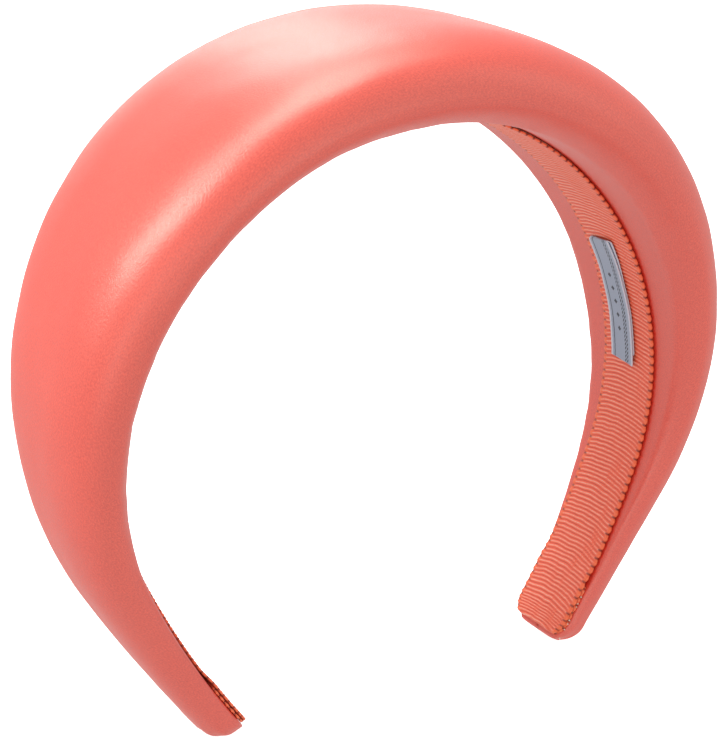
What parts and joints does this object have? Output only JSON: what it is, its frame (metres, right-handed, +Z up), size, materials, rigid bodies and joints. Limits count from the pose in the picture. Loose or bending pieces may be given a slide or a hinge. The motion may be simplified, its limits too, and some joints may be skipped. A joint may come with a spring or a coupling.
{
  "type": "spa headband",
  "caption": "Padded satin headband: an open sprung hoop with a high crown, slim arms and a ribbed ribbon lining.",
  "frame": {"origin": "centre of the round stretch of the hoop, in the middle of the band's width", "axes": "+Z up to the top of the crown, +X towards the arm that carries the label, Y across the band"},
  "size_m": [0.1502, 0.0668, 0.1433],
  "materials": {
    "satin": "satin",
    "grosgrain": "matte",
    "foam": "matte",
    "spring_band": "satin",
    "glue": "gloss",
    "label_weave": "satin"
  },
  "bodies": {
    "left_half": {"left_spring_band": "spring_band", "left_foam_pad": "foam", "left_satin_cover": "satin", "left_lining_ribbon": "grosgrain", "left_pad_adhesive": "glue", "left_hem_adhesive": "glue", "left_lining_adhesive": "glue"},
    "right_half": {"right_spring_band": "spring_band", "right_foam_pad": "foam", "right_satin_cover": "satin", "right_lining_ribbon": "grosgrain", "right_pad_adhesive": "glue", "right_hem_adhesive": "glue", "right_lining_adhesive": "glue", "label": "label_weave", "label_adhesive": "glue"}
  },
  "joints": [
    {"name": "crown_flex", "type": "hinge", "parent": "left_half", "child": "right_half", "pos_m": [0, 0, 0.0813], "axis": [0, -1, 0], "range_deg": [0, 14], "stiffness_Nm_per_rad": 0.9}
  ]
}
